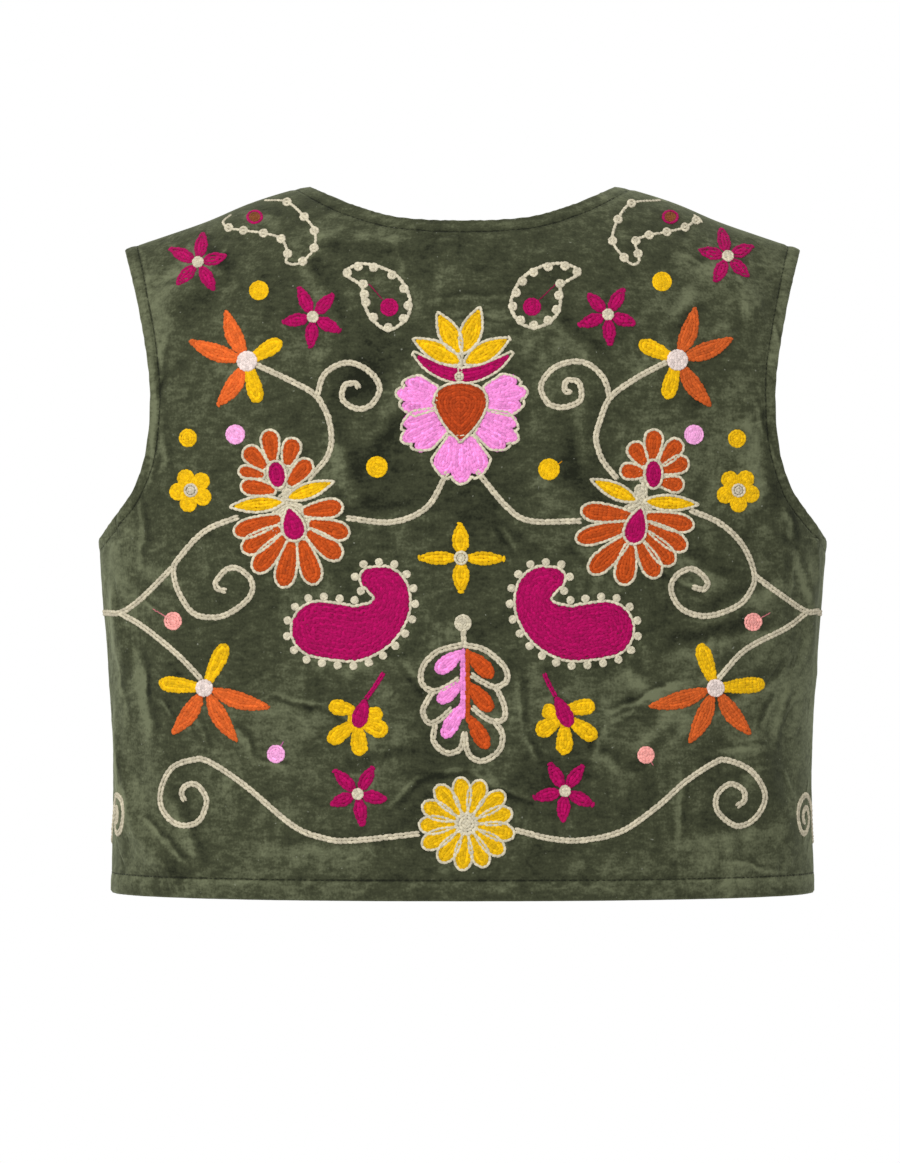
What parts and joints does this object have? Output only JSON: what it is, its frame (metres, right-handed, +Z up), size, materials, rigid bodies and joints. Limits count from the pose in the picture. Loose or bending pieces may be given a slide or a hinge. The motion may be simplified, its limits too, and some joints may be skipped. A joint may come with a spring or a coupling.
{
  "type": "embroidered waistcoat",
  "caption": "Cropped sleeveless velvet waistcoat with chain-stitched flowers, paisleys and vines, open at the front, worn form with an empty hollow.",
  "frame": {"origin": "midway between the wearer's shoulders, at the height where the middle of each shoulder carries the cloth", "axes": "+Z up, +Y the way the wearer faces, so the back panel faces -Y, +X to the wearer's right, which is the picture's right"},
  "size_m": [0.436, 0.2304, 0.4224],
  "materials": {
    "velvet": "matte dark olive velvet, slightly crushed",
    "cream_thread": "soft twisted embroidery thread",
    "magenta_thread": "soft twisted embroidery thread",
    "orange_thread": "soft twisted embroidery thread",
    "yellow_thread": "soft twisted embroidery thread",
    "pink_thread": "soft twisted embroidery thread",
    "coral_thread": "soft twisted embroidery thread",
    "green_thread": "plain sewing thread, as dark as the cloth"
  },
  "bodies": {
    "root": {"back": "velvet", "front_left": "velvet", "front_right": "velvet"}
  },
  "joints": []
}
